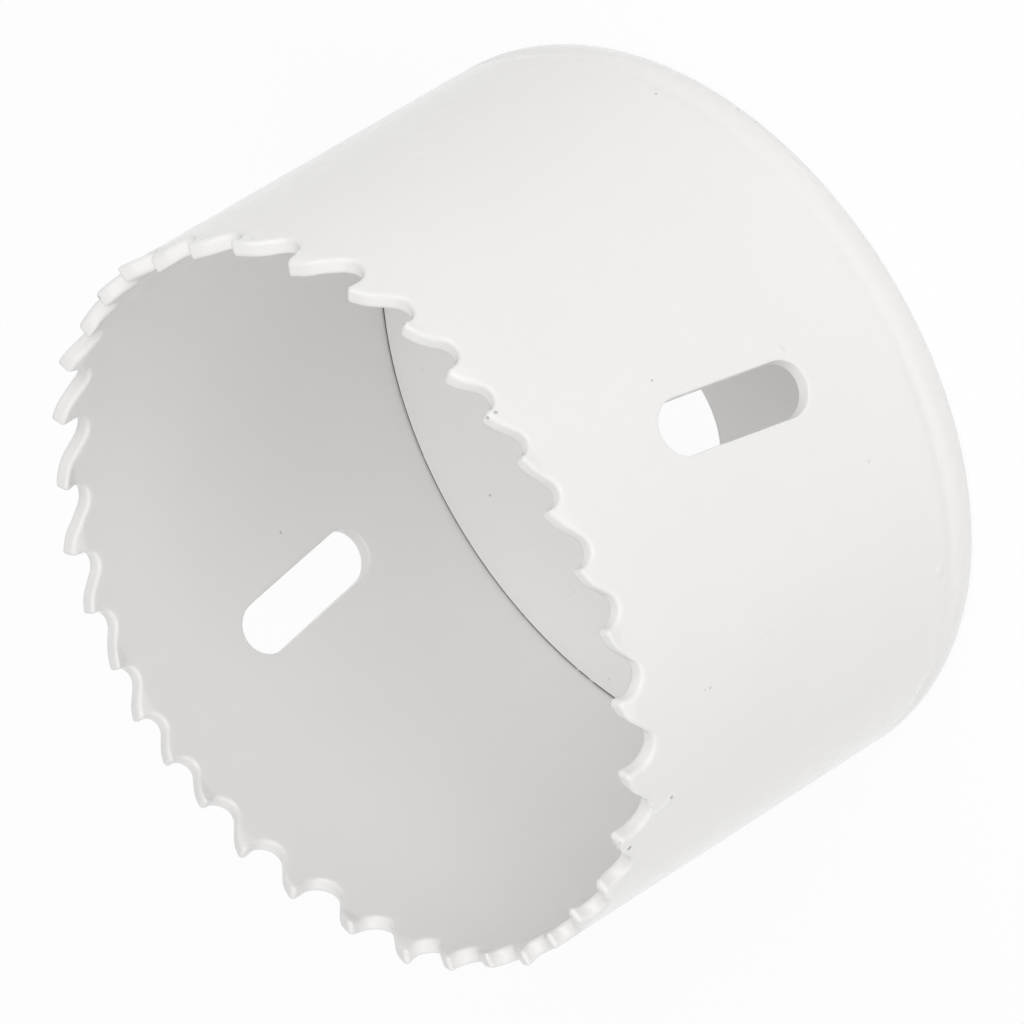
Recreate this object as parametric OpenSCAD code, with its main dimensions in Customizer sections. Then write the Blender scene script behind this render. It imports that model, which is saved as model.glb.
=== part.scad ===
// Hole saw of the kind that screws onto a drill arbor.
// A toothed steel strip is rolled into a ring, butt welded, and welded all round onto a turned end plate.
// It stands on the end plate with its teeth up. The origin is at the centre of the plate's back face.

/* [Cup] */
// Diameter of the hole that it cuts, measured over the teeth that lean outwards
cut_d = 64; // [56:1:90]
// Height from the back of the end plate to the tips of the teeth
saw_h = 40.9; // [36:0.1:60]
// Thickness of the rolled strip
wall_t = 1.4; // [1:0.05:2]

/* [Teeth] */
// Mean distance from tip to tip
tooth_pitch = 5.35; // [4.6:0.05:6.4]
// How far a leaning tooth's tip stands out of or into the wall
tooth_set = 0.45; // [0.2:0.05:0.6]
// Lean of the cutting face back from upright, in degrees
rake = 2; // [0:1:8]
// Slope of the land right behind a tip, in degrees
land_slope = 21; // [12:1:26]

/* [End plate] */
// Thickness of the end plate inside the band
plate_t = 4; // [3.5:0.1:6]
// Height of the step on its rim that the band stands on
seat_h = 3.3; // [2.5:0.1:3.4]
// How far the rim draws in towards the back face
rim_in = 0.8; // [0.2:0.1:1]
// Diameter of the arbor's thread, which has 18 turns to the inch
thread_d = 15.875; // [12.7:0.005:15.875]
// Diameter of the two holes for the arbor's drive pins
pin_d = 6.6; // [5:0.1:7]
// Diameter of the circle on which the drive pin holes lie
pin_circle_d = 24.6; // [24.2:0.1:30]

/* [Side slots] */
// Number of slots round the wall
slot_n = 2; // [1:1:4]
// Width of a slot
slot_w = 4.7; // [3:0.1:7]
// Length of a slot from end to end
slot_l = 15.1; // [10:0.1:20]
// Lean of a slot from upright, towards the cutting direction at the top
slot_lean = 9; // [0:0.5:20]
// Height of a slot's middle above the back face
slot_mid_h = 20.5; // [18:0.1:24]

/* [Hidden] */
$fn = 96;

// Radii of the cup's wall, outside and inside
body_r = cut_d / 2 - tooth_set;
inner_r = body_r - wall_t;
mid_r = body_r - wall_t / 2;

// The weld between band and plate shows outside as a shallow groove
weld_groove = 0.2;
// Play between the band and the raised middle of the plate, open to view as a thin crack
plate_play = 0.14;

// The thread's core, and the lead that opens it at both faces
thread_step = 25.4 / 18;
thread_core_d = thread_d - 0.94 * thread_step;
thread_lead = 0.25;

// The rim curves in evenly from this height down to the back face
rim_h = 0.75 * seat_h;
rim_r = (pow(rim_h, 2) + pow(rim_in, 2)) / (2 * rim_in);

// Tips stand at uneven distances, so that the saw doesn't chatter.
// One run of the strip's pitches, each as a share of the mean one. The strip repeats it up to its weld.
pitch_run = [1.24, 1.18, 0.98, 0.97, 0.87, 0.82, 0.86, 0.98, 1.09];
// Depth of the gullet that follows each tip of a run, as a share of the mean pitch
depth_run = [0.58, 0.5, 0.42, 0.35, 0.32, 0.32, 0.34, 0.42, 0.48];
// Lean of successive teeth: upright, inwards, outwards
set_run = [0, -1, 1];
tooth_n = round(2 * PI * body_r / tooth_pitch);
pitch_shares = [for (i = [0:tooth_n - 1]) pitch_run[i % len(pitch_run)]];
share_sum = pitch_shares * [for (s = pitch_shares) 1];
// Angle of the first tip past the strip's butt weld, counted from +X against the clock
first_tip_a = 229;

function sum_to(v, n) = n <= 0 ? 0 : v[n - 1] + sum_to(v, n - 1);
function share(i) = pitch_shares[(i + tooth_n) % tooth_n];
function tip_a(i) = first_tip_a + 360 * (i < 0 ? -share(i) : sum_to(pitch_shares, i)) / share_sum;
// Straight distance from tip i to the next one, at the outer wall
function pitch_u(i) = body_r * sin(360 * share(i) / share_sum);

// Depth of the gullet after tip i
function depth(i) = 2 * PI * body_r / tooth_n * depth_run[(i + tooth_n) % tooth_n % len(depth_run)];
// A gullet's bottom radius and a land's length go with the pitch
gullet_share = 0.26;
land_share = 0.31;
function gullet_r(i) = gullet_share * pitch_u(i);
// The flat sides run a hair inside the gullet's circle, so that they cross it
flank_share = 0.995;
// Middle of the gullet's circle, seen from tip i
function gullet_c(i) = [
    flank_share * gullet_r(i) / cos(rake) - (depth(i) - gullet_r(i)) * tan(rake),
    gullet_r(i) - depth(i)
];
// Angle from tip i to the middle of the gullet that follows it
function gullet_a(i) = asin(gullet_c(i)[0] / mid_r);

// The lean starts just above the shallowest gullet
bend_h = 0.9 * min([for (i = [0:tooth_n - 1]) depth(i)]);
bend_z = saw_h - bend_h;
// Half of the part of a gullet's middle that reaches below the bend, as an angle
function spare_a(i) =
    let (r = gullet_r(i), below = min(depth(i) - bend_h, r))
    0.5 * asin(sqrt(2 * r * below - pow(below, 2)) / mid_r);

// Room that a cutter runs past what it cuts, and the room that a straight one needs where the wall curves away
over = 1;
curve_room = 4;

// Gap from tip i at the origin to the next tip on the X axis: cutting face, round gullet, back and land
module gap_outline(i) {
    p = pitch_u(i);
    c = gullet_c(i);
    r = gullet_r(i);
    flank_r = flank_share * r;
    face_end = c + flank_r * [-cos(rake), sin(rake)];
    heel = [p - land_share * p * cos(land_slope), -land_share * p * sin(land_slope)];
    to_heel = heel - c;
    back_a = atan2(to_heel[1], to_heel[0]) - acos(flank_r / norm(to_heel));
    back_end = c + flank_r * [cos(back_a), sin(back_a)];
    polygon([
        [2 * over * tan(rake), 2 * over], face_end, c, back_end, heel,
        [p + over, over * tan(land_slope)], [p + over, 2 * over]
    ]);
    translate(c) circle(r);
}

// Gap cutter, standing radially at a tip's own angle
module gap(i) {
    rotate([0, 0, tip_a(i)])
        translate([inner_r - curve_room, 0, saw_h])
            rotate([90, 0, 90])
                linear_extrude(wall_t + 2 * curve_room)
                    gap_outline(i);
}

// Pie slice that holds tooth i and stops short of the middles of its two gullets
module tooth_slice(i) {
    from_a = tip_a(i - 1) + gullet_a(i - 1) + spare_a(i - 1);
    to_a = tip_a(i) + gullet_a(i) - spare_a(i);
    far = 2 * body_r;
    translate([0, 0, bend_z - over])
        linear_extrude(bend_h + 3 * over)
            polygon([[0, 0], far * [cos(from_a), sin(from_a)], far * [cos(to_a), sin(to_a)]]);
}

// Tops of all teeth that share one lean, still without their gaps, so they rise past the tips
module tooth_blanks(way) {
    top_z = saw_h + over;
    lean = tooth_set * way * (top_z - bend_z) / bend_h;
    intersection() {
        rotate_extrude()
            polygon([
                [inner_r, bend_z], [body_r, bend_z],
                [body_r + lean, top_z], [inner_r + lean, top_z]
            ]);
        union()
            for (i = [0:tooth_n - 1])
                if (set_run[i % len(set_run)] == way) tooth_slice(i);
    }
}

// Slot with round ends, cut straight through the wall in the -Y direction
module slot() {
    straight = slot_l - slot_w;
    translate([0, 0, slot_mid_h])
        rotate([90, slot_lean, 0])
            linear_extrude(body_r + over) {
                square([slot_w, straight], center = true);
                for (end = [-1, 1]) translate([0, end * straight / 2]) circle(d = slot_w);
            }
}

module toothed_band() {
    color([0.94, 0.94, 0.93])
        difference() {
            union() {
                rotate_extrude()
                    polygon([
                        [inner_r, seat_h], [body_r - weld_groove, seat_h],
                        [body_r, seat_h + weld_groove], [body_r, bend_z], [inner_r, bend_z]
                    ]);
                for (way = set_run) tooth_blanks(way);
            }
            for (i = [0:tooth_n - 1]) gap(i);
            for (k = [0:slot_n - 1]) rotate([0, 0, 360 * k / slot_n]) slot();
        }
}

module end_plate() {
    lead_r = thread_core_d / 2 + thread_lead;
    color([0.92, 0.92, 0.91])
        difference() {
            rotate_extrude() {
                square([body_r - rim_in, rim_h]);
                intersection() {
                    square([body_r, rim_h]);
                    translate([body_r - rim_r, rim_h]) circle(rim_r);
                }
                polygon([
                    [0, rim_h], [body_r, rim_h], [body_r, seat_h - weld_groove],
                    [body_r - weld_groove, seat_h], [inner_r - plate_play, seat_h],
                    [inner_r - plate_play, plate_t], [0, plate_t]
                ]);
            }
            translate([0, 0, -over]) cylinder(d = thread_core_d, h = plate_t + 2 * over);
            for (side = [0, 1])
                translate([0, 0, side * plate_t])
                    mirror([0, 0, side])
                        translate([0, 0, -over])
                            cylinder(r1 = lead_r + over, r2 = lead_r - thread_lead, h = over + thread_lead);
            for (side = [-1, 1])
                translate([side * pin_circle_d / 2, 0, -over]) cylinder(d = pin_d, h = plate_t + 2 * over);
        }
}

end_plate();
toothed_band();
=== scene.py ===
import math
import bpy
import numpy as np
from mathutils import Matrix, Vector
from mathutils.geometry import delaunay_2d_cdt


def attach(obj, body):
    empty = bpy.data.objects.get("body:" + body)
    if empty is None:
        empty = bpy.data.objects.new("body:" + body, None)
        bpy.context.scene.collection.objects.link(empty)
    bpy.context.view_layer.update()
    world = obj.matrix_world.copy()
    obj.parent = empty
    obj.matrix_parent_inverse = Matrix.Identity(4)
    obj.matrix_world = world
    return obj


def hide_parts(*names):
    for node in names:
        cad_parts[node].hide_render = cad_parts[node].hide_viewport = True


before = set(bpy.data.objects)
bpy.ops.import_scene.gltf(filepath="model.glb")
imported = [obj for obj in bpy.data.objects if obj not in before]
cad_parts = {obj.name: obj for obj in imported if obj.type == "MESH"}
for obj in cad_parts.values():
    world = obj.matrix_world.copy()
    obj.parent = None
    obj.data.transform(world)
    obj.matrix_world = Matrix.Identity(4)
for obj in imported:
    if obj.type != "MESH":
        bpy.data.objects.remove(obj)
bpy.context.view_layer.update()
RNG = np.random.default_rng(7)

# The saw's lengths are in mm until its mesh is built, and angles in radians unless a line says degrees
MM = 0.001
TURN = 2 * math.pi

# Sizes of the solids, and the depth of the thread, which they leave out
CUT_D, SAW_H, WALL = 64.0, 40.9, 1.4
TOOTH_SET = 0.45
RAKE, LAND_SLOPE = math.radians(2), math.radians(21)
LAND_SHARE, GULLET_SHARE = 0.31, 0.26
PITCH_RUN = (1.24, 1.18, 0.98, 0.97, 0.87, 0.82, 0.86, 0.98, 1.09)
DEPTH_RUN = (0.58, 0.5, 0.42, 0.35, 0.32, 0.32, 0.34, 0.42, 0.48)
SET_RUN = (0, -1, 1)
TOOTH_N = 37
FIRST_TIP = math.radians(229)
SLOT_W, SLOT_L, SLOT_LEAN, SLOT_H = 4.7, 15.1, math.radians(9), 20.5
PLATE_T, SEAT_H, RIM_IN, PLAY = 4.0, 3.3, 0.8, 0.14
THREAD_STEP = 25.4 / 18
CORE_R = (15.875 - 0.94 * THREAD_STEP) / 2
THREAD_LEAD, THREAD_DEEP = 0.25, 0.62
PIN_R, PIN_AT = 3.3, 12.3

BODY_R = CUT_D / 2 - TOOTH_SET
INNER_R = BODY_R - WALL
AROUND = TURN * BODY_R
RIM_H = 0.75 * SEAT_H
RIM_R = (RIM_H ** 2 + RIM_IN ** 2) / (2 * RIM_IN)

# Roundings of edges, slots, tips and heels under the paint, and how much lower than sharp ones the tips stand
EDGE, SLOT_EDGE = 0.34, 0.14
TIP_ROUND, HEEL_ROUND = 0.4, 3.2
TIP_WEAR = 0.15
# Angles of the rows of points along a rounded edge
EDGE_ROWS = np.radians([66, 44, 22, 0])

# The tops of the teeth start to bend this far below the solids' bend, by this power of the height
BEND_SPARE, BEND_POWER = 0.15, 1.25
# They lean in turn, each a little differently
SET_SCALE = 0.93 + 0.07 * RNG.random(TOOTH_N)
# Middle of a gullet, as a share of the way to the next tip, and about the angle that its arc sweeps
GULLET_AT, GULLET_SWEEP = 0.27, 4.2

# Steps of the points along the parts of the outline, and the number of columns where band and plate meet
TIP_STEP, HEEL_STEP, GULLET_STEP, TOOTH_STEP, SLOT_STEP = 0.06, 0.12, 0.11, 0.16, 0.22
COLUMN_N = 661
# Below this height the points lie close, with this step in z, for the weld's groove and the marks beside it
CLOSE_H, CLOSE_Z_STEP = 6, 0.27
# Loose points elsewhere: steps along u and z near the teeth, columns and step in z on the plain wall,
# distances of the rows round a slot, and steps along x and y on the plate's flat faces
TEETH_STEPS = (0.42, 0.36)
PLAIN_COLUMN_N, PLAIN_Z_STEP = 397, 1.3
SLOT_ROWS = (0.5, 0.9, 1.4)
FACE_STEPS = (1.6, 1.4)


def chunks(indices, size):
    """The indices in parts of about one size, which keeps the arrays small."""
    return np.array_split(indices, max(1, len(indices) // size)) if len(indices) else []


def stretch_distance(points, a, b):
    """Distance from each point to the nearest of the straight stretches from a to b."""
    rel, along = points[:, None, :] - a[None], b - a
    t = np.clip((rel * along).sum(2) / np.maximum((along * along).sum(1), 1e-12), 0, 1)
    return np.linalg.norm(rel - t[..., None] * along, axis=2).min(1)


def distance(points, loops, reach=3.0):
    """Distance from each point to the nearest of some polylines, capped at reach."""
    out = np.full(len(points), reach)
    for loop in loops:
        a, b = loop[:-1], loop[1:]
        low, high = np.minimum(a[:, 0], b[:, 0]), np.maximum(a[:, 0], b[:, 0])
        boxed = (points > loop.min(0) - reach) & (points < loop.max(0) + reach)
        near = np.where(boxed.all(1))[0]
        for part in chunks(near[np.argsort(points[near, 0])], 400):
            q = points[part]
            ok = (high > q[:, 0].min() - reach) & (low < q[:, 0].max() + reach)
            if ok.any():
                out[part] = np.minimum(out[part], stretch_distance(q, a[ok], b[ok]))
    return out


def inside(points, ring):
    """Even-odd test of points against one closed ring, given without its closing point."""
    a, b = ring, np.roll(ring, -1, 0)
    hit = np.zeros(len(points), bool)
    for part in chunks(np.arange(len(points)), 1500):
        x, y = points[part, 0][:, None], points[part, 1][:, None]
        cross = (a[:, 1] > y) != (b[:, 1] > y)
        with np.errstate(divide="ignore", invalid="ignore"):
            at = a[:, 0] + (y - a[:, 1]) * (b[:, 0] - a[:, 0]) / (b[:, 1] - a[:, 1])
        hit[part] = (cross & (x < at)).sum(1) % 2 == 1
    return hit


def within(points, rings):
    """True for points inside the first ring and outside the others."""
    ok = inside(points, rings[0])
    for hole in rings[1:]:
        ok &= ~inside(points, hole)
    return ok


def closed(ring):
    """The ring with its first point once more at its end."""
    return np.vstack([ring, ring[:1]])


def dense(points, step):
    """The same polyline with no stretch longer than step."""
    out = [points[:1]]
    for a, b in zip(points[:-1], points[1:]):
        n = max(1, int(math.ceil(np.linalg.norm(b - a) / step)))
        out.append(a + (b - a) * (np.arange(1, n + 1) / n)[:, None])
    return np.vstack(out)


def round_corner(before, corner, after, radius, step):
    """Points of an arc that rounds one corner."""
    a = (before - corner) / np.linalg.norm(before - corner)
    b = (after - corner) / np.linalg.norm(after - corner)
    half = math.acos(float(np.clip(a @ b, -1, 1))) / 2
    reach = radius / math.tan(half)
    mid = (a + b) / np.linalg.norm(a + b)
    centre = corner + mid * radius / math.sin(half)
    start, end = corner + a * reach - centre, corner + b * reach - centre
    a0 = math.atan2(start[1], start[0])
    sweep = (math.atan2(end[1], end[0]) - a0 + math.pi) % TURN - math.pi
    n = max(3, int(abs(sweep) * radius / step) + 2)
    t = a0 + sweep * np.linspace(0, 1, n)
    return centre + radius * np.column_stack([np.cos(t), np.sin(t)])


def level_points(loop, levels, is_ring):
    """Points on the left of a line or ring at some distances from it, one row for each distance."""
    nxt = np.roll(loop, -1, 0) - loop
    prv = loop - np.roll(loop, 1, 0)
    if not is_ring:
        nxt[-1], prv[0] = prv[-1], nxt[0]
    t = nxt / np.linalg.norm(nxt, axis=1)[:, None] + prv / np.linalg.norm(prv, axis=1)[:, None]
    t /= np.linalg.norm(t, axis=1)[:, None]
    n = np.column_stack([-t[:, 1], t[:, 0]])
    return [loop + n * d for d in levels]


def grid_points(us, zs, stagger):
    """Grid whose every second row is shifted."""
    gu, gz = np.meshgrid(us, zs)
    gu[1::2] += stagger
    return np.column_stack([gu.ravel(), gz.ravel()])


def thin_out(points, gap):
    """Drops points that fall into a cell already taken, so that no two lie closer than about gap."""
    key = np.round(points / gap).astype(np.int64)
    _, first = np.unique(key, axis=0, return_index=True)
    return points[np.sort(first)]


def ring_edges(rings):
    """Edges of closed rings whose points follow each other in one list."""
    edges, start = [], 0
    for ring in rings:
        n = len(ring)
        edges += [(start + i, start + (i + 1) % n) for i in range(n)]
        start += n
    return edges


def triangulate(points, edges):
    """Constrained Delaunay triangles over the convex hull, as indices into points."""
    out = delaunay_2d_cdt([Vector(p) for p in points], edges, [], 0, 1e-6)
    origin = np.array([o[0] if o else -1 for o in out[3]])
    tris = origin[np.array(out[2])]
    tris = tris[(tris >= 0).all(1)]
    a, b, c = (points[tris[:, k]] for k in range(3))
    area = (b[:, 0] - a[:, 0]) * (c[:, 1] - a[:, 1]) - (c[:, 0] - a[:, 0]) * (b[:, 1] - a[:, 1])
    tris[area < 0] = tris[area < 0][:, ::-1]
    return tris[np.abs(area) > 1e-9]


def fill(rings, loose):
    """Points and triangles of what lies inside the first ring and outside the others."""
    points = np.vstack(rings + [loose])
    tris = triangulate(points, ring_edges(rings))
    return points, tris[within(points[tris].mean(1), rings)]


# The strip is drawn unrolled: u runs along the outside from the first tip, against the clock, and z is
# the height
def run_values(run):
    """Values of a run, repeated for all teeth."""
    return np.array([run[i % len(run)] for i in range(TOOTH_N)])


SHARES = run_values(PITCH_RUN) / run_values(PITCH_RUN).sum()
TIPS = np.concatenate([[0], np.cumsum(SHARES)[:-1]]) * AROUND
DEPTHS = run_values(DEPTH_RUN) * AROUND / TOOTH_N
BEND_H = 0.9 * DEPTHS.min()


def u_of(angle, u0):
    """Place along a strip that starts at u0 of an angle round the saw."""
    return BODY_R * ((angle - FIRST_TIP - u0 / BODY_R) % TURN) + u0


def u_from(u, degrees):
    """Distance along the outside from a place given in degrees round the saw."""
    return BODY_R * (np.mod(FIRST_TIP + u / BODY_R - math.radians(degrees) + math.pi, TURN) - math.pi)


def gap_shape(i):
    """Corners and gullet of the gap after tip i, with that tip at the origin."""
    p = BODY_R * math.sin(TURN * SHARES[i])
    d, r = DEPTHS[i], GULLET_SHARE * p
    c = np.array([r / math.cos(RAKE) - (d - r) * math.tan(RAKE), r - d])
    land = LAND_SHARE * p
    heel = np.array([p - land * math.cos(LAND_SLOPE), -land * math.sin(LAND_SLOPE)])
    to = heel - c
    back = math.atan2(to[1], to[0]) - math.acos(r / np.linalg.norm(to))
    t = np.linspace(math.pi - RAKE, TURN + back, max(12, int(GULLET_SWEEP * r / GULLET_STEP)))
    arc = c + r * np.column_stack([np.cos(t), np.sin(t)])
    return {"pitch": p, "arc": arc, "heel": heel}


def tooth_and_gap(i, gaps):
    """Outline from tooth i's rounded tip through its gap to the land of the next tooth."""
    gap, before = gaps[i], gaps[i - 1]
    radius = min(TIP_ROUND * (0.85 + 0.3 * RNG.random()), 0.6 * np.linalg.norm(gap["arc"][0]))
    land_start = before["heel"] - np.array([before["pitch"], 0])
    tip = round_corner(land_start, np.zeros(2), gap["arc"][0], radius, TIP_STEP)
    next_tip = np.array([gap["pitch"], 0])
    heel = round_corner(gap["arc"][-1], gap["heel"], next_tip, HEEL_ROUND, HEEL_STEP)
    line = dense(np.vstack([tip, gap["arc"], heel]), TOOTH_STEP)
    line[:, 0] = BODY_R * np.arcsin(line[:, 0] / BODY_R)
    return line + np.array([TIPS[i], SAW_H - TIP_WEAR])


def toothed_outline():
    """Outline of all teeth as (u, z), from the bottom of the last gullet to its copy one turn on."""
    gaps = [gap_shape(i) for i in range(TOOTH_N)]
    run = [tooth_and_gap(i, gaps) for i in range(TOOTH_N)]
    pts, last = np.vstack(run), run[-1]
    cut = len(pts) - len(last) + int(np.argmin(last[:, 1]))
    start = pts[cut:] - np.array([AROUND, 0])
    return dense(np.vstack([start, pts[:cut + 1]]), TOOTH_STEP)


def slot_outline(mid_u):
    """Slot with round ends. Its top leans towards the cutting direction, which is that of u."""
    straight, r = (SLOT_L - SLOT_W) / 2, SLOT_W / 2
    t = np.linspace(0, math.pi, 34)
    top = np.column_stack([r * np.cos(t), straight + r * np.sin(t)])
    pts = dense(np.vstack([top, -top, top[:1]]), SLOT_STEP)[:-1]
    c, s = math.cos(SLOT_LEAN), math.sin(SLOT_LEAN)
    return pts @ np.array([[c, -s], [s, c]]) + np.array([mid_u, SLOT_H])


# Marks under the paint outside: degrees round the saw, height, half width, half height, and how far they
# stand out. They are the weld's bumps and pits on the rim, dents, a drip, and the butt weld's bead.
OUTER_MARKS = (
    (295.9, 1.15, 0.55, 0.3, 0.09), (293.2, 1.6, 0.35, 0.25, -0.06), (291.6, 1.35, 0.5, 0.3, 0.08),
    (230.7, 4.8, 0.4, 0.4, 0.12), (228.9, 4.3, 0.3, 0.35, -0.1), (225.9, 2.4, 0.4, 0.3, 0.14),
    (224.2, 2.9, 0.35, 0.3, -0.08), (262.4, 3.9, 0.4, 0.3, 0.02), (318.1, 4.3, 0.3, 0.3, 0.06),
    (247.5, 3.0, 0.5, 0.25, 0.05), (331.5, 23.0, 0.45, 0.4, 0.05), (273.5, 13.8, 0.28, 0.3, 0.08),
    (218.75, 36.8, 0.2, 0.4, 0.16), (219.2, 36.1, 0.2, 0.4, 0.17), (219.7, 35.5, 0.2, 0.35, 0.14),
)
GROOVE_DEEP, GROOVE_HALF = 0.15, 0.6


def body_profile(z):
    """Radius of the painted body: straight, with a rim that curves in to the back face."""
    below = np.clip(RIM_H - z, 0, None)
    return BODY_R - RIM_R + np.sqrt(RIM_R ** 2 - below ** 2)


def outer_r(u, z):
    """Radius of the outside, with the uneven groove of the weld and the marks."""
    a = u / BODY_R
    groove = GROOVE_DEEP * np.exp(-((z - SEAT_H) / GROOVE_HALF) ** 2)
    groove = groove * (0.75 + 0.2 * np.sin(3 * a + 1) + 0.15 * np.sin(11 * a) * np.sin(5 * a + 2))
    r = body_profile(z) - groove
    for place, mid_z, half_u, half_z, high in OUTER_MARKS:
        r = r + high * np.exp(-(u_from(u, place) / half_u) ** 2 - ((z - mid_z) / half_z) ** 2)
    return r


def outer_slope(u, z, h=0.02):
    """How the outside's radius changes along u and along z."""
    along_u = (outer_r(u + h, z) - outer_r(u - h, z)) / (2 * h)
    along_z = (outer_r(u, z + h) - outer_r(u, z - h)) / (2 * h)
    return along_u, along_z


def to_cylinder(u, z, r):
    """Points at places u along the strip, heights z and radii r."""
    a = FIRST_TIP + u / BODY_R
    return np.column_stack([r * np.cos(a), r * np.sin(a), z])


def wall_normals(u, along_u, along_z, way):
    """Unit normals of a wall whose radius has the given slopes. Way is 1 outside and -1 inside."""
    a = FIRST_TIP + u / BODY_R
    n = np.column_stack([np.cos(a) + along_u * np.sin(a), np.sin(a) - along_u * np.cos(a), -along_z])
    return way * n / np.linalg.norm(n, axis=1)[:, None]


def edge_drop(d, edge):
    """How far a painted face falls back at a distance from its edge."""
    x = np.clip(1 - d / edge, 0, 1)
    return edge * (1 - np.sqrt(1 - x * x))


def set_shift(u, z):
    """Radial shift of the tooth tops and its slope over the height."""
    middles = TIPS + GULLET_AT * SHARES * AROUND
    tooth = np.searchsorted(middles, u % AROUND) % TOOTH_N
    k = run_values(SET_RUN)[tooth] * SET_SCALE[tooth]
    start = SAW_H - BEND_H - BEND_SPARE
    t = np.clip((z - start) / (SAW_H - start), 0, None)
    shift = TOOTH_SET * k * t ** BEND_POWER
    slope = TOOTH_SET * k * BEND_POWER * t ** (BEND_POWER - 1) / (SAW_H - start)
    return shift, np.where(t > 0, slope, 0)


def add_object(name, data):
    obj = bpy.data.objects.new(name, data)
    bpy.context.scene.collection.objects.link(obj)
    return obj


def smooth_mesh(name, points, tris):
    """Smooth mesh of triangles, with its points in metres."""
    mesh = bpy.data.meshes.new(name)
    mesh.vertices.add(len(points))
    mesh.vertices.foreach_set("co", points.astype(np.float32).ravel())
    mesh.loops.add(tris.size)
    mesh.loops.foreach_set("vertex_index", tris.astype(np.int32).ravel())
    mesh.polygons.add(len(tris))
    mesh.polygons.foreach_set("loop_start", np.arange(0, tris.size, 3, dtype=np.int32))
    mesh.update(calc_edges=True)
    mesh.validate()
    mesh.polygons.foreach_set("use_smooth", [True] * len(mesh.polygons))
    return mesh


def set_normals(mesh, normals):
    """Gives points their known normals. Where these are nan, Blender's own stay."""
    own = np.zeros(normals.size, np.float32)
    mesh.vertices.foreach_get("normal", own)
    own = own.reshape(-1, 3)
    known = ~np.isnan(normals[:, 0])
    own[known] = normals[known]
    mesh.normals_split_custom_set_from_vertices(own.tolist())


class Skin:
    """Points, triangles and known normals of a piece, added row by row."""

    def __init__(self):
        self.points, self.normals, self.tris, self.count = [], [], [], 0

    def add(self, points, normals=None):
        """Adds points, with their normals where these are known, and returns their indices."""
        start = self.count
        self.count += len(points)
        self.points.append(points)
        self.normals.append(np.full(points.shape, np.nan) if normals is None else normals)
        return np.arange(start, self.count)

    def ring(self, points, normals=None):
        """Row of a closed ring, whose last index is its first again."""
        row = self.add(points, normals)
        return np.append(row, row[0])

    def loft(self, rows):
        """Two triangles between each pair of neighbours of each two rows."""
        for lower, upper in zip(rows[:-1], rows[1:]):
            a, b, c, d = lower[:-1], lower[1:], upper[1:], upper[:-1]
            self.tris += [np.column_stack([a, b, c]), np.column_stack([a, c, d])]

    def build(self, name):
        """Object of all that was added, without points and triangles that fall away at the seam."""
        used, tris = np.unique(np.vstack(self.tris), return_inverse=True)
        tris = tris.reshape(-1, 3)
        a, b, c = tris.T
        mesh = smooth_mesh(name, np.vstack(self.points)[used] * MM, tris[(a != b) & (b != c) & (a != c)])
        set_normals(mesh, np.vstack(self.normals)[used])
        return add_object(name, mesh)


def columns(top):
    """Places along u of the points where band and plate meet outside."""
    return np.linspace(top[0, 0], top[-1, 0], COLUMN_N)


def strip_ring(top):
    """Ring round the unrolled band, and how many of its points lie on its bottom and on each end."""
    bottom = np.column_stack([columns(top), np.full(COLUMN_N, SEAT_H)])
    end_z = np.append(np.arange(SEAT_H + 0.25, CLOSE_H, 0.25), np.arange(CLOSE_H, top[0, 1] - 0.2, 0.8))
    left = np.column_stack([np.full(len(end_z), top[0, 0]), end_z])
    right = left + np.array([AROUND, 0])
    return np.vstack([bottom, right, top[::-1], left[::-1]]), len(bottom), len(left)


def strip_grid(top):
    """Loose points all over the unrolled band, closer near the teeth, the weld and the marks."""
    u0, u1, low_z = top[0, 0], top[-1, 0], top[:, 1].min()
    step_u, step_z = TEETH_STEPS
    teeth_u, teeth_z = np.arange(u0 + 0.2, u1 - 0.1, step_u), np.arange(low_z - 1.4, SAW_H, step_z)
    plain_z = np.append(np.arange(CLOSE_H + 0.6, low_z - 1.6, PLAIN_Z_STEP), low_z - 1.75)
    close_z = np.arange(SEAT_H + 0.2, CLOSE_H + 0.1, CLOSE_Z_STEP)
    grids = [
        grid_points(teeth_u, teeth_z, step_u / 2),
        grid_points(np.linspace(u0, u1, PLAIN_COLUMN_N)[1:-1], plain_z, 0.25),
        grid_points(columns(top)[1:-1], close_z, 0),
    ]
    reach = np.arange(-3, 3.01, 0.4)
    for place, mid_z, half_u, half_z, _ in OUTER_MARKS:
        if mid_z > CLOSE_H:
            mid_u = u_of(math.radians(place), u0)
            grids.append(grid_points(mid_u + reach * half_u, mid_z + reach * half_z, 0.03))
    return thin_out(np.vstack(grids[::-1]), 0.1)


def edge_points(top, slots, loops):
    """Points beside the teeth and slots, where the paint rounds over, and a few rows round the slots."""
    fall = 1 - np.sin(EDGE_ROWS)
    rows = list(zip(EDGE * fall, level_points(top[::-1], EDGE * fall, False)))
    for slot in slots:
        rows += zip(SLOT_EDGE * fall, level_points(slot, -SLOT_EDGE * fall, True))
    for slot in slots:
        rows += [(0.45, p) for p in level_points(slot, [-d for d in SLOT_ROWS], True)]
    points = np.vstack([p[distance(p, loops) > 0.96 * level] for level, p in rows])
    clear = (points[:, 0] > top[0, 0] + 0.02) & (points[:, 0] < top[-1, 0] - 0.02)
    return thin_out(points[clear], 0.02)


def seam_map(total, bottom_n, end_n, top_n):
    """For each point of the sheet the one that stands for it, as both ends of the strip are one line."""
    same = np.arange(total)
    left = bottom_n + end_n + top_n
    same[bottom_n - 1] = 0
    same[bottom_n:bottom_n + end_n] = np.arange(left, left + end_n)[::-1]
    same[bottom_n + end_n] = left - 1
    return same


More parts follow.
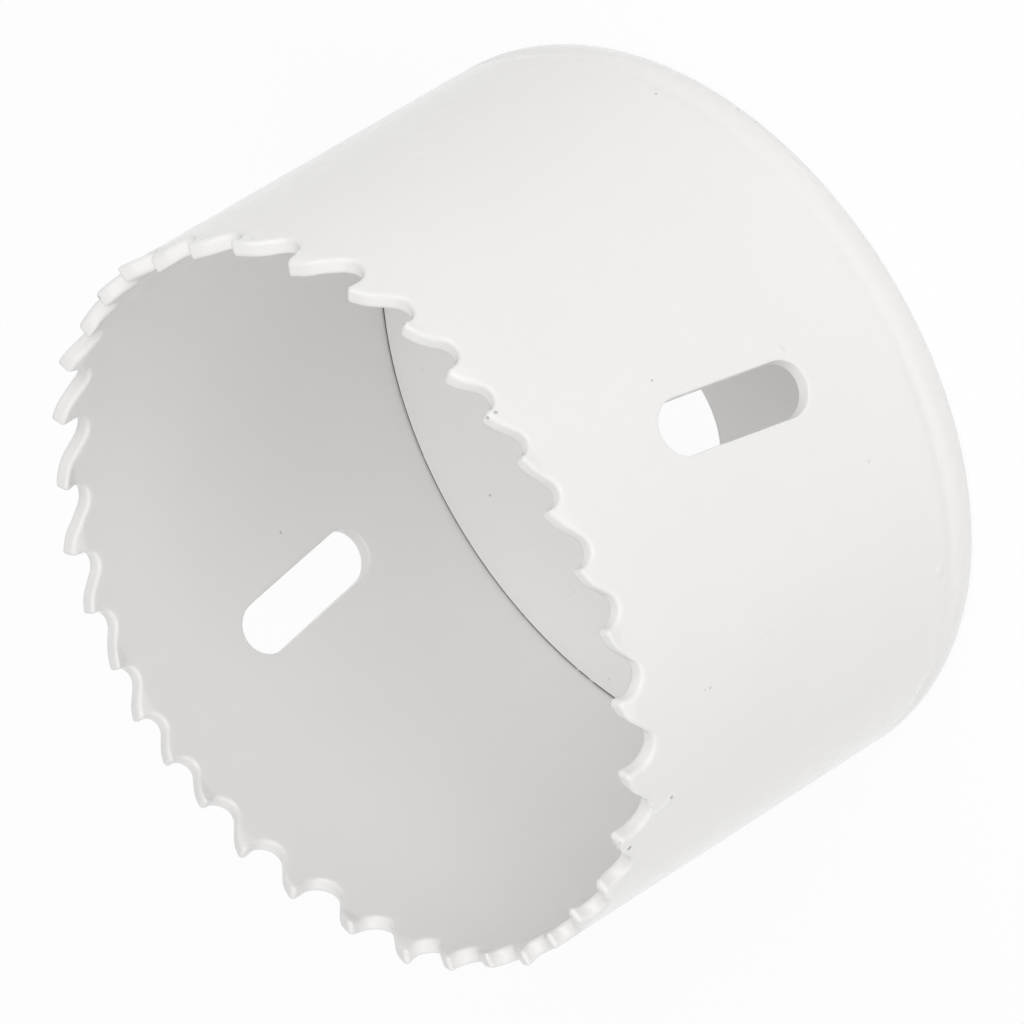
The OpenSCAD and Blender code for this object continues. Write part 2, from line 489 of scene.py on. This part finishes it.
def band_sheet(top):
    """The unrolled band: points, triangles, rows along bottom, teeth and slots, lines of teeth and slots."""
    ring, bottom_n, end_n = strip_ring(top)
    slots = [slot_outline(u_of(a, top[0, 0])) for a in (-math.pi / 2, math.pi / 2)]
    rings, loops = [ring] + slots, [top] + [closed(s) for s in slots]
    near, grid = edge_points(top, slots, loops), strip_grid(top)
    near = near[inside(near, ring)]
    grid = grid[distance(grid, loops) > EDGE + 0.12]
    points, tris = fill(rings, np.vstack([near, grid[within(grid, rings)]]))
    same = seam_map(len(points), bottom_n, end_n, len(top))
    rows = [np.arange(bottom_n), bottom_n + end_n + np.arange(len(top))[::-1]]
    start = len(ring)
    for slot in slots:
        rows.append(np.append(start + np.arange(len(slot)), start))
        start += len(slot)
    return points, same[tris], [same[row] for row in rows], loops


def make_band(top):
    """The painted band: an outer and an inner skin, joined along the teeth, the slots and the bottom."""
    points, tris, (bottom, *edges), loops = band_sheet(top)
    u, z = points[:, 0], points[:, 1]
    shift, slope = set_shift(u, z)
    to_teeth, to_slots = distance(points, loops[:1]), distance(points, loops[1:])
    drop = np.maximum(edge_drop(to_teeth, EDGE), edge_drop(to_slots, SLOT_EDGE))
    along_u, along_z = outer_slope(u, z)
    outward = wall_normals(u, along_u, along_z + slope, 1)
    inward = wall_normals(u, 0 * u, slope, -1)
    rounded = (to_teeth < EDGE + 0.03) | (to_slots < SLOT_EDGE + 0.03)
    outward[rounded] = inward[rounded] = np.nan
    skin = Skin()
    skin.add(to_cylinder(u, z, outer_r(u, z) + shift - drop), outward)
    skin.add(to_cylinder(u, z, INNER_R + shift + drop), inward)
    inner = len(points)
    skin.tris += [tris, tris[:, ::-1] + inner]
    for row, edge in zip(edges, (EDGE, SLOT_EDGE, SLOT_EDGE)):
        once, across = row[:-1], [row]
        for share in (0.25, 0.5, 0.75):
            r = BODY_R + shift[once] - edge - share * (WALL - 2 * edge)
            across.append(skin.ring(to_cylinder(u[once], z[once], r)))
        skin.loft(across + [row + inner])
    skin.loft([bottom + inner, bottom])
    return skin.build("band")


# The end plate: its middle stands up inside the band, with a crack all round between them
TOP_R = INNER_R - PLAY
FACE_R = 29.2
TOP_EDGE, HOLE_EDGE, BACK_EDGE = 0.12, 0.2, 0.25
RIM_ROWS, THREAD_ROWS = 24, 57
THREAD_POINTS, PIN_POINTS = 240, 80
# Shares of the thread's pitch that its groove and the groove's two flanks take
THREAD_OPEN, THREAD_FLANKS = 0.82, 0.72
# Where paint bridges the crack: degrees round the saw, half width
BRIDGES = (
    (123.6, 0.35), (126.2, 0.16), (127.0, 0.22), (106.4, 0.14), (111.6, 0.12), (61.5, 0.1), (81.5, 0.16),
    (37.0, 0.5), (168.0, 0.3), (203.0, 0.4), (251.0, 0.25), (301.0, 0.5), (340.0, 0.3),
)
# How far below the top face that paint stays
BRIDGE_LOW = 0.05


def crack_floor(u):
    """Height of the crack's floor, which rises where paint fills it."""
    z = np.full(len(u), SEAT_H)
    for place, half in BRIDGES:
        full = np.clip(1.6 - np.abs(u_from(u, place)) / half, 0, 1)
        z = np.maximum(z, SEAT_H + (PLATE_T - BRIDGE_LOW - SEAT_H) * full)
    return z


def plate_outside(skin, u):
    """The plate's outside, from the back face round the rim and over the crack to the top face."""
    one = np.ones(len(u))
    down, up = np.tile([0.0, 0.0, -1.0], (len(u), 1)), np.tile([0.0, 0.0, 1.0], (len(u), 1))

    def ring(z, r, normals=None):
        return skin.ring(to_cylinder(u, z * one, r * one), normals)

    corner = np.array([body_profile(0.0), 0.0])
    foot, knee = corner - np.array([BACK_EDGE, 0.0]), np.array([body_profile(BACK_EDGE), BACK_EDGE])
    rows = [ring(0, FACE_R, down), ring(0, foot[0], down)]
    for t in (0.25, 0.5, 0.75):
        r, z = (1 - t) ** 2 * foot + 2 * t * (1 - t) * corner + t ** 2 * knee
        rows.append(ring(z, r))
    for z in np.linspace(BACK_EDGE, SEAT_H, RIM_ROWS):
        known = wall_normals(u, *outer_slope(u, z * one), 1) if z > BACK_EDGE else None
        rows.append(ring(z, outer_r(u, z * one), known))
    # Two rows on the seat under the band, then the crack, whose rows stay apart where paint fills it
    floor_z = crack_floor(u)
    rows += [ring(SEAT_H, BODY_R - 0.6), ring(SEAT_H, INNER_R + 0.01)]
    rows += [ring(floor_z, INNER_R - 0.001), ring(floor_z, TOP_R)]
    for k, t in enumerate(np.radians([0, 30, 60, 90])):
        z = np.maximum(PLATE_T - TOP_EDGE * (1 - math.sin(t)), floor_z + 0.01 * (k + 1))
        rows.append(ring(z, TOP_R - TOP_EDGE * (1 - math.cos(t)), up if k == 3 else None))
    rows.append(ring(PLATE_T, FACE_R, up))
    skin.loft(rows)
    return rows[-1], rows[0]


def make_hole(skin, profile, point_n, at_x=0.0):
    """Hole through the plate, from the top face down. The profile gives each ring's radius and height."""
    a = np.linspace(0, TURN, point_n + 1)[:-1]
    rows = []
    for r, z in profile:
        rows.append(skin.ring(np.column_stack([at_x + r * np.cos(a), r * np.sin(a), np.full(len(a), z)])))
    skin.loft(rows)
    return rows[0], rows[-1]


def thread_profile():
    """Radii round the arbor's threaded bore at each height. The thread is right-handed."""
    a = np.linspace(0, TURN, THREAD_POINTS + 1)[:-1]
    for z in np.linspace(PLATE_T, 0, THREAD_ROWS):
        phase = (z / THREAD_STEP - a / TURN) % 1
        groove = np.clip((THREAD_OPEN - 2 * np.abs(phase - 0.5)) / THREAD_FLANKS, 0, 1)
        lead = max(0, THREAD_LEAD - min(z, PLATE_T - z))
        yield CORE_R + np.maximum(THREAD_DEEP * groove, lead), z


def pin_profile():
    """Radii of a hole for a drive pin at each height, with rounded edges."""
    half = []
    for t in np.radians([0, 22, 45, 68, 90]):
        half.append((PIN_R + HOLE_EDGE * (1 - math.sin(t)), PLATE_T - HOLE_EDGE * (1 - math.cos(t))))
    return half + [(r, PLATE_T - z) for r, z in half[::-1]]


def flat_face(skin, rim, holes, z, way):
    """Flat face between its rim and its holes. Way is 1 where it looks up and -1 where it looks down."""
    rows = [row[:-1] for row in [rim] + holes]
    points = np.vstack(skin.points)[:, :2]
    rings = [points[row] for row in rows]
    loops = [closed(ring) for ring in rings]
    step_x, step_y = FACE_STEPS
    grid = grid_points(np.arange(-FACE_R, FACE_R, step_x), np.arange(-FACE_R, FACE_R, step_y), step_x / 2)
    grid = grid[distance(grid, loops) > 0.7]
    near = level_points(rings[0][::3], [0.45], True)
    for ring in rings[1:]:
        near += level_points(ring[::2], [-0.45], True)
    near = np.vstack(near)
    loose = np.vstack([near[distance(near, loops) > 0.4], grid])
    loose = loose[within(loose, rings)]
    _, tris = fill(rings, loose)
    facing = np.tile([0.0, 0.0, float(way)], (len(loose), 1))
    ids = np.concatenate(rows + [skin.add(np.column_stack([loose, np.full(len(loose), z)]), facing)])
    skin.tris.append(ids[tris[:, ::way]])


def make_plate(u):
    """The painted plate, whose outside has a column of points at each u."""
    skin = Skin()
    rims = plate_outside(skin, u)
    holes = [make_hole(skin, thread_profile(), THREAD_POINTS)]
    holes += [make_hole(skin, pin_profile(), PIN_POINTS, at_x) for at_x in (PIN_AT, -PIN_AT)]
    for side, (z, way) in enumerate(((PLATE_T, 1), (0.0, -1))):
        flat_face(skin, rims[side], [hole[side] for hole in holes], z, way)
    return skin.build("plate")


def srgb(r, g, b):
    """Scene colour of an 8-bit display colour."""
    def one(v):
        v /= 255
        return v / 12.92 if v <= 0.04045 else ((v + 0.055) / 1.055) ** 2.4
    return (one(r), one(g), one(b), 1.0)


# Display colours, from 0 to 255: the paint, and a near black for the dark specks and for the crack, which is
# bare steel painted dark as the crack's shade
PAINT, DIRT_AND_SHADE = (242.4, 241.2, 239.8), (38, 35, 34)
# Small dark marks in the paint: degrees round the saw, radius, height, half width, how dark
SPECKS = (
    (253.07, 31.55, 10.36, 0.15, 0.12), (317.78, 31.57, 4.55, 0.14, 0.4), (220.05, 31.59, 35.39, 0.2, 0.35),
    (235.25, 31.55, 31.28, 0.15, 0.25), (235.4, 31.55, 31.82, 0.13, 0.15), (308.22, 31.12, 0.61, 0.2, 0.25),
    (304.97, 31.03, 0.45, 0.18, 0.2), (214.28, 31.55, 39.38, 0.24, 0.6), (216.38, 31.34, 40.53, 0.14, 0.25),
    (286.79, 31.55, 39.91, 0.17, 0.45), (286.88, 31.19, 40.58, 0.16, 0.45), (91.36, 24.12, 4.0, 0.13, 0.43),
    (279.25, 31.55, 26.0, 0.11, 0.35), (79.89, 30.15, 20.27, 0.15, 0.3), (42.5, 31.3, 40.56, 0.14, 0.35),
    (117.79, 22.84, 4.0, 0.11, 0.12), (130.18, 28.51, 4.0, 0.13, 0.2), (124.21, 28.97, 4.0, 0.1, 0.12),
    (65.32, 26.51, 4.0, 0.13, 0.12), (238.17, 31.55, 24.4, 0.11, 0.12), (336.9, 31.56, 39.17, 0.13, 0.2),
    (14.0, 31.55, 22.0, 0.13, 0.25), (52.0, 31.55, 9.0, 0.15, 0.2), (105.0, 31.55, 29.0, 0.12, 0.25),
    (163.0, 31.55, 15.0, 0.14, 0.2), (14.14, 31.07, 40.57, 0.2, 0.4), (305.1, 31.68, 40.38, 0.17, 0.35),
)
# How far noise frays the specks' outlines, in metres
FRAY = 0.22 * MM


def feed(nt, socket, value):
    """Links an output to a socket, or sets the socket to a plain value."""
    if isinstance(value, bpy.types.NodeSocket):
        nt.links.new(value, socket)
    else:
        socket.default_value = value


def node(nt, kind, **inputs):
    """New shader node with some of its inputs fed, by name with _ for a space."""
    n = nt.nodes.new("ShaderNode" + kind)
    for name, value in inputs.items():
        feed(nt, n.inputs[name.replace("_", " ")], value)
    return n


def operation(nt, kind, what, *values):
    """New Math or VectorMath node with its inputs fed in order."""
    n = nt.nodes.new("ShaderNode" + kind)
    n.operation = what
    for socket, value in zip(n.inputs, values):
        feed(nt, socket, value)
    return n


def maths(nt, what, *values):
    """Output of a new Math node."""
    return operation(nt, "Math", what, *values).outputs[0]


def mix_colours(nt, factor, one, two):
    """Mix of two colours, each a plain colour or a socket."""
    n = nt.nodes.new("ShaderNodeMix")
    n.data_type = "RGBA"
    for socket, value in ((n.inputs["Factor"], factor), (n.inputs[6], one), (n.inputs[7], two)):
        feed(nt, socket, value)
    return n.outputs[2]


def crack_steel_and_shade_mask(nt, place):
    """1 down in the crack between band and plate, where no paint reached. The bare steel there is painted
    near black as the crack's shade, darker further down.
    """
    x, y, z = node(nt, "SeparateXYZ", Vector=place).outputs
    r2 = maths(nt, "MULTIPLY_ADD", y, y, maths(nt, "MULTIPLY", x, x))
    within_band = maths(nt, "LESS_THAN", r2, ((INNER_R + 0.5) * MM) ** 2)
    beyond_top = maths(nt, "GREATER_THAN", r2, ((TOP_R - 0.5) * MM) ** 2)
    deep = node(nt, "MapRange", Value=z, From_Min=(PLATE_T - 0.16) * MM, From_Max=(PLATE_T - 0.06) * MM,
                To_Min=1.0, To_Max=0.0)
    above_seat = maths(nt, "GREATER_THAN", z, (SEAT_H - 0.1) * MM)
    in_ring = maths(nt, "MULTIPLY", within_band, beyond_top)
    return maths(nt, "MULTIPLY", maths(nt, "MULTIPLY", deep.outputs[0], above_seat), in_ring)


def marks_and_shade_mask(nt, place):
    """Value that is high in the crack, which is painted shade, and on the dark specks, and 0 on clean paint.
    """
    noise = node(nt, "TexNoise", Vector=place, Scale=5200.0, Detail=2.0).outputs["Color"]
    frayed = operation(nt, "VectorMath", "MULTIPLY_ADD", noise, (FRAY,) * 3, place).outputs[0]
    mask = crack_steel_and_shade_mask(nt, place)
    for turn, r, z, half, dark in SPECKS:
        a = math.radians(turn)
        middle = [c * MM + FRAY / 2 for c in (r * math.cos(a), r * math.sin(a), z)]
        away = operation(nt, "VectorMath", "DISTANCE", frayed, middle).outputs["Value"]
        fade = node(nt, "MapRange", Value=away, From_Min=0.6 * half * MM, From_Max=1.2 * half * MM,
                    To_Min=dark, To_Max=0.0)
        mask = maths(nt, "MAXIMUM", mask, fade.outputs[0])
    return mask


def new_material(name):
    mat = bpy.data.materials.new(name)
    mat.use_nodes = True
    return mat, mat.node_tree, mat.node_tree.nodes["Principled BSDF"]


def gloss_paint(name, seed):
    """Thick gloss enamel: slightly uneven in tone and gloss, with orange peel, small dark marks and painted
    shade down in the crack.
    """
    mat, nt, p = new_material(name)
    place = nt.nodes.new("ShaderNodeTexCoord").outputs["Object"]
    cloud = node(nt, "TexNoise", Vector=place, Scale=95.0 + seed, Detail=3.0, Roughness=0.55).outputs[0]
    peel = node(nt, "TexNoise", Vector=place, Scale=620.0 + seed, Detail=2.0, Roughness=0.4).outputs[0]
    wave = node(nt, "TexNoise", Vector=place, Scale=130.0 - seed, Detail=1.0).outputs[0]
    light, deep = [srgb(*[c * k for c in PAINT]) for k in (1.004, 0.99)]
    tone = mix_colours(nt, cloud, deep, light)
    # The dark specks and the painted shade of the crack both take the near black
    feed(nt, p.inputs["Base Color"], mix_colours(nt, marks_and_shade_mask(nt, place), tone, srgb(*DIRT_AND_SHADE)))
    gloss = node(nt, "MapRange", Value=peel, From_Min=0.3, From_Max=0.7, To_Min=0.13, To_Max=0.22)
    feed(nt, p.inputs["Roughness"], gloss.outputs[0])
    p.inputs["Specular IOR Level"].default_value = 0.38
    broad = node(nt, "Bump", Height=wave, Strength=0.5, Distance=0.00001).outputs[0]
    fine = node(nt, "Bump", Height=peel, Strength=0.5, Distance=0.000007, Normal=broad).outputs[0]
    feed(nt, p.inputs["Normal"], fine)
    return mat


def use(obj, mat):
    obj.data.materials.clear()
    obj.data.materials.append(mat)


# Camera fitted to the photo's view: its lens in mm, its place in metres, and its own right, up and back
LENS, CAMERA_AT = 399.279, (0.06149, -0.72203, 0.55539)
RIGHT = Vector((-0.47651891, -0.54931476, -0.68642773))
UP = Vector((0.87645507, -0.23557129, -0.41991985))
BACK = Vector((0.06896551, -0.80172281, 0.59370388))

# Floor and light: half the floor's side and its gap under the saw in metres, how much of the floor's look
# is white of its own, and the world's strength as light
FLOOR_HALF, FLOOR_GAP = 3.0, 0.00002
FLOOR_WHITE = 0.92
WORLD_LIGHT = 0.4
# Softboxes: degrees round the saw, degrees above the floor, distance and side in metres, watts
SOFTBOXES = ((190, 30, 1.2, 0.9, 3.2), (280, 60, 1.2, 0.9, 4.0), (302, 30, 1.2, 0.9, 4.4))
SOFTBOX_AIM = Vector((0, 0, 0.02))


def add_camera():
    data = bpy.data.cameras.new("camera")
    data.lens, data.sensor_width = LENS, 36.0
    data.clip_start, data.clip_end = 0.05, 20
    cam = add_object("camera", data)
    cam.matrix_world = Matrix.Translation(CAMERA_AT) @ Matrix((RIGHT, UP, BACK)).transposed().to_4x4()
    bpy.context.scene.camera = cam


def seen_directly(nt):
    """1 for camera, glossy and transmission rays, which show the white background."""
    path = nt.nodes.new("ShaderNodeLightPath").outputs
    seen = maths(nt, "MAXIMUM", path["Is Camera Ray"], path["Is Glossy Ray"])
    return maths(nt, "MAXIMUM", seen, path["Is Transmission Ray"])


def add_floor():
    """White floor: seen directly it is mostly white of its own and keeps a faint shadow."""
    mesh = bpy.data.meshes.new("floor")
    s = FLOOR_HALF
    mesh.from_pydata([(-s, -s, 0), (s, -s, 0), (s, s, 0), (-s, s, 0)], [], [(0, 1, 2, 3)])
    obj = add_object("floor", mesh)
    obj.location.z = -FLOOR_GAP
    mat, nt, p = new_material("floor")
    p.inputs["Base Color"].default_value = (0.95, 0.95, 0.95, 1)
    p.inputs["Roughness"].default_value = 0.9
    glow = node(nt, "Emission", Strength=1.0)
    white = maths(nt, "MULTIPLY", seen_directly(nt), FLOOR_WHITE)
    both = nt.nodes.new("ShaderNodeMixShader")
    for socket, value in zip(both.inputs, (white, p.outputs[0], glow.outputs[0])):
        feed(nt, socket, value)
    feed(nt, nt.nodes["Material Output"].inputs["Surface"], both.outputs[0])
    use(obj, mat)


def add_world():
    """World that lights softly and is seen as white."""
    world = bpy.data.worlds.new("studio")
    bpy.context.scene.world = world
    world.use_nodes = True
    nt = world.node_tree
    background = nt.nodes["Background"]
    level = node(nt, "MapRange", Value=seen_directly(nt), To_Min=WORLD_LIGHT, To_Max=1.0)
    feed(nt, background.inputs["Strength"], level.outputs[0])
    background.inputs["Color"].default_value = (1, 1, 1, 1)


def add_softboxes():
    for k, (turn, rise, away, side, watts) in enumerate(SOFTBOXES):
        data = bpy.data.lights.new("softbox_%d" % k, "AREA")
        data.shape, data.size, data.energy = "SQUARE", side, watts
        obj = add_object("softbox_%d" % k, data)
        t, e = math.radians(turn), math.radians(rise)
        toward = Vector((math.cos(t) * math.cos(e), math.sin(t) * math.cos(e), math.sin(e)))
        obj.location = toward * away + SOFTBOX_AIM
        obj.rotation_euler = toward.to_track_quat("Z", "Y").to_euler()


add_camera()
add_floor()
add_world()
add_softboxes()

teeth = toothed_outline()
band = make_band(teeth)
use(band, gloss_paint("band_paint", 0.0))
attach(band, "root")
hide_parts("toothed_band")

plate = make_plate(columns(teeth)[:-1])
use(plate, gloss_paint("plate_paint", 7.0))
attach(plate, "root")
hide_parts("end_plate")

bpy.context.scene.view_settings.view_transform = "Standard"
